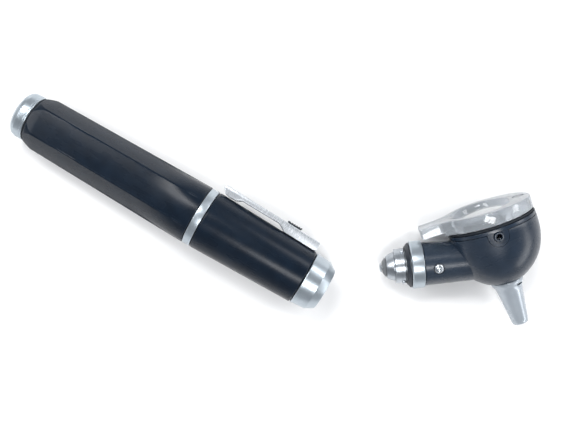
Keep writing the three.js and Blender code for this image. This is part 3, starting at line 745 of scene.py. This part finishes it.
def make_neck():
    collar = turned("neck_collar_fine", softened([(10.8, 6.2), (10.8, 8.0), (11.2, 8.4),
                                                  (15.1, 8.4), (15.1, 6.2)], 0.18), 128)
    put(collar, NECK, "head", ["neck_collar"], SILVER)
    ring = turned("collar_front_ring_fine", softened([(9.2, 6.2), (9.2, 6.7), (10.5, 8.1),
                                                      (10.5, 6.2)], 0.12), 128)
    put(ring, NECK, "head", ["collar_front_ring"], SLIDER)

    plug = turned("bayonet_plug_fine", softened(
        [(2.35, 3.4), (2.35, 4.0), (5.0, 5.15), (5.0, 4.8), (5.3, 4.8), (5.3, 6.05), (8.7, 6.15),
         (8.9, 5.9), (15.0, 5.9), (15.0, 4.7), (19.4, 4.7), (19.4, 3.4)], 0.14))
    for angle in LUG_ANGLES:
        lug = turned("lug", [(-6.75, 0), (-6.75, 0.55), (-6.6, 0.7), (-5.5, 0.7), (-5.5, 0)],
                     32, TO_Y)
        moved(lug, Matrix.Rotation(angle, 4, "X") @ Matrix.Translation((8.0, 0, 0)))
        plug = combined(plug, "UNION", lug)
    put(plug, NECK, "head", ["bayonet_plug"], PLUG_SILVER)
    insulator = turned("plug_insulator_fine", softened(
        [(0.95, 1.2), (0.95, 2.1), (2.05, 3.6), (2.05, 3.1), (7.5, 3.1), (7.5, 1.2)], 0.1), 64)
    put(insulator, NECK, "lamp", ["plug_insulator"], DARK_INSULATOR)
    contact = turned("plug_contact_fine", [(0, 0), (0.0, 0.75), (0.06, 1.1), (0.2, 1.45),
                                           (0.38, 1.68), (0.5, 1.75), (0.6, 1.72), (0.65, 1.6),
                                           (0.65, 0.9), (7.8, 0.9), (7.8, 0)], 64)
    put(contact, NECK, "lamp", ["plug_contact"], PLUG_SILVER)

    dome = turned("neck_screw_fine", [(-8.0, 0), (-7.99, 0.4), (-7.93, 0.8), (-7.8, 1.2),
                                      (-7.6, 1.5), (-7.35, 1.7), (-7.2, 1.75), (-7.15, 1.7),
                                      (-7.15, 0.6), (-6.2, 0.6), (-6.2, 0)], 64, TO_Y)
    slots = [block("slot_a", (-1.1, -9, -0.18), (1.1, -7.5, 0.18), 0.03),
             block("slot_b", (-0.18, -9, -1.1), (0.18, -7.5, 1.1), 0.03)]
    screw = combined(dome, "DIFFERENCE", *slots)
    moved(screw, AT_SCREW)
    put(screw, NECK, "head", ["neck_screw"], PLUG_SILVER)


def plate_outline():
    """A ring with a far lobe over the pivot and a thumb tab towards the neck."""
    oval = arc(RIM_CENTRE_X, 0, RIM_HALF_LENGTH - 0.1, RIM_HALF_WIDTH, -2.48, 2.48, 120)
    points = [(-23.2, -4.3), (-17.5, -4.3)]
    points += quadratic((-17.5, -4.3), (-13.4, -4.8), oval[0])
    points += oval[1:]
    points += quadratic(oval[-1], (-13.4, 4.8), (-17.5, 4.3))
    points += [(-23.2, 4.3)]
    points += quadratic((-23.2, 4.3), (-24.2, 0), (-23.2, -4.3))[:-1]
    return points


def make_window():
    plate = outline_solid("lens_plate_fine", plate_outline(), PLATE_BOTTOM, PLATE_TAB_TOP, 0.45)
    for vertex in plate.data.vertices:
        along = min(max((vertex.co.x - PLATE_SLOPE_START_X) / PLATE_SLOPE_LENGTH, 0.0), 1.0)
        up = (vertex.co.z - PLATE_BOTTOM) / (PLATE_TAB_TOP - PLATE_BOTTOM)
        vertex.co.z -= along * up * (PLATE_TAB_TOP - PLATE_FAR_TOP)
    relief = block("tab_relief", (-30, -10, -1), (-15.6, 10, 1.6), 0.3)
    upper = turned("upper_opening", [(2.0, 0), (2.0, 9.4), (4.1, 9.95), (4.5, 10.2),
                                     (4.75, 10.6), (6, 12), (6, 0)], 128, TO_Z)
    lower = turned("lower_opening", [(-2, 0), (-2, 8.4), (2.5, 8.4), (2.5, 0)], 128, TO_Z)
    for opening in (upper, lower):
        moved(opening, Matrix.Translation((WINDOW_X, 0, 0)))
    hole = turned("pivot_hole", [(-2, 0), (-2, 1.1), (6, 1.1), (6, 0)], 48, TO_Z)
    seat = turned("head_seat", [(3.9, 0), (3.9, 2.1), (6, 2.1), (6, 0)], 48, TO_Z)
    for cut_out in (hole, seat):
        moved(cut_out, Matrix.Translation((PIVOT_X, 0, 0)))
    plate = combined(plate, "DIFFERENCE", relief, upper, lower, hole, seat)
    put(plate, HEAD, "lens", ["lens_plate"], ACRYLIC, 30)

    lens = turned("magnifying_lens_fine", smooth_lens(), 128, TO_Z)
    moved(lens, Matrix.Translation((WINDOW_X, 0, 0)))
    put(lens, HEAD, "lens", ["magnifying_lens"], GLASS)

    pivot = turned("lens_pivot_screw_fine", [(-4.2, 0), *softened(
        [(-4.2, 0), (-4.2, 0.75), (4.05, 0.75), (4.05, 1.8), (4.45, 1.75), (4.6, 1.4),
         (4.6, 0)], 0.08, closed=False)[1:-1], (4.6, 0)], 48, TO_Z)
    pivot = combined(pivot, "DIFFERENCE", block("pivot_slot", (-2, -0.2, 4.3), (2, 0.2, 6)))
    moved(pivot, Matrix.Translation((PIVOT_X, 0, 0)))
    put(pivot, HEAD, "head", ["lens_pivot_screw"], STEEL)


def smooth_lens():
    """A biconvex lens: two shallow caps and a narrow edge."""
    rim = 9.15
    cap_rim = 0.985 * rim
    lower, lower_rise = 1.7, 0.75
    upper, upper_rise = 3.95, 1.0
    steps = 14
    shares = [i / steps for i in range(steps + 1)]
    below = [(lower + lower_rise * t * t, cap_rim * t) for t in shares]
    above = [(upper - upper_rise * t * t, cap_rim * t) for t in reversed(shares)]
    return below + [(2.6, rim), (2.8, rim)] + above


def make_speculum():
    tip = SPECULUM_TIP_Z
    outer = [(-22.4, 5.75), (-23.4, 5.6), (-25.2, 4.75), (-28.5, 4.2), (-33.0, 3.6),
             (tip + 0.5, 2.9)]
    outside = [tuple(p) for p in smooth_through(outer, 5)]
    profile = [(-22.4, 4.5), *outside, (tip + 0.16, 2.66), (tip, 2.5), (tip, 2.05),
               (tip + 0.2, 2.05), (tip + 1, 2.4), (-33.0, 3.1), (-25.2, 4.2)]
    shape = turned("speculum_fine", profile, 128, TO_Z)
    notch = block("notch", (2.2, -6.2, -24.75), (7, -1.6, -23.9), 0.15)
    shape = combined(shape, "DIFFERENCE", notch)
    put(shape, HEAD, "speculum", ["speculum"], SPECULUM_GREY)


# ---- CAD nodes that keep their shape -------------------------------------------------

def finish_cad_nodes():
    """Pieces that sit inside keep their CAD shape and take a worked material."""
    looks = {
        BRASS: ["tail_spring_seat", "battery_contact", "contact_pin", "lamp_base"],
        STEEL: ["tail_spring", "contact_spring", "clip_rivet_1", "clip_rivet_2",
                "switch_contact", "pivot_washer", "pivot_nut"],
        JACKET: ["battery_rear", "battery_front"],
        NYLON: ["socket_insulator"],
        SILVER: ["nose_cone"],
        GLASS: ["lamp_bulb", "light_guide"],
    }
    for look, names in looks.items():
        for name in names:
            mesh = frame["nodes"][name].data
            remember_local(mesh, MM)
            mesh.materials.clear()
            mesh.materials.append(look)
            mesh.set_sharp_from_angle(angle=math.radians(SHARP_ANGLE))


# ---- Camera, floor and light ---------------------------------------------------------

FOCAL_LENGTH = 48.36        # millimetres, on a frame 36 mm wide
SENSOR_WIDTH = 36.0
CAMERA_FROM_TAIL = Vector((86.98, 2.83, 281.13))        # millimetres, in the frame's axes
CAMERA_TURN = Vector((-0.035138, 0.052750, -0.531383))  # axis times angle, world to camera


def make_camera():
    camera = bpy.data.cameras.new("camera")
    camera.lens = FOCAL_LENGTH
    camera.sensor_width = SENSOR_WIDTH
    camera.clip_start = 0.01
    holder = in_scene("camera", camera)
    turn = Matrix.Rotation(CAMERA_TURN.length, 4, CAMERA_TURN.normalized())
    tail = HANDLE.translation.copy()
    tail.z = 0.0
    holder.matrix_world = Matrix.Translation(tail + CAMERA_FROM_TAIL * MM) @ turn.inverted()
    bpy.context.scene.camera = holder


def make_floor():
    half = 1.5
    floor = as_object("floor", [(-half, -half, 0), (half, -half, 0), (half, half, 0),
                                (-half, half, 0)], [(0, 1, 2, 3)])
    n = Nodes("floor_paper")
    place = n.add("ShaderNodeNewGeometry").outputs["Position"]
    colour = n.mixed(n.noise(place, 40.0, 4.0), (0.84, 0.84, 0.84), (0.87, 0.87, 0.87))
    floor.data.materials.append(n.set(Base_Color=colour, Roughness=0.8))


def make_light(name, location, target, size, energy):
    light = bpy.data.lights.new(name, "AREA")
    light.shape = "RECTANGLE"
    light.size, light.size_y = size
    light.energy = energy
    holder = in_scene(name, light)
    direction = Vector(target) - Vector(location)
    holder.rotation_euler = direction.to_track_quat("-Z", "Y").to_euler()
    holder.location = location


def make_world():
    """A plain studio: brighter towards the walls than overhead."""
    world = bpy.data.worlds.new("studio")
    world.use_nodes = True
    tree = world.node_tree
    background = tree.nodes["Background"]
    direction = tree.nodes.new("ShaderNodeTexCoord").outputs["Generated"]
    height = tree.nodes.new("ShaderNodeSeparateXYZ")
    tree.links.new(direction, height.inputs[0])
    ramp = tree.nodes.new("ShaderNodeValToRGB")
    ramp.color_ramp.elements[0].position = 0.0
    ramp.color_ramp.elements[0].color = (0.62, 0.64, 0.67, 1.0)
    ramp.color_ramp.elements[1].position = 0.95
    ramp.color_ramp.elements[1].color = (0.07, 0.08, 0.10, 1.0)
    tree.links.new(height.outputs["Z"], ramp.inputs[0])
    tree.links.new(ramp.outputs[0], background.inputs[0])
    bpy.context.scene.world = world


def make_lights():
    """Softboxes all round the lay-out, each of which gives one soft line on the pieces.
    Places and sizes are in metres, and the last number is the power in watts."""
    make_light("softbox_far", (0.42, 0.62, 0.56), (0.04, 0, 0), (0.8, 0.26), 4.6)
    make_light("softbox_near", (0.13, -0.22, 0.62), (0.04, 0, 0), (0.26, 0.16), 1.9)
    make_light("softbox_grip", (-0.27, 0.19, 0.60), (-0.05, 0, 0), (0.24, 0.14), 2.2)
    make_light("softbox_left", (-0.52, -0.05, 0.56), (0.07, 0, 0), (0.5, 0.16), 2.4)
    make_light("softbox_right", (0.72, 0.05, 0.24), (0.07, 0, 0), (0.5, 0.2), 1.1)


bpy.context.scene.view_settings.view_transform = "Standard"
make_camera()
make_floor()
make_world()
make_lights()
make_grip_barrel()
make_turned_handle_pieces()
make_clip()
make_shell()
make_rim()
make_neck()
make_window()
make_speculum()
finish_cad_nodes()
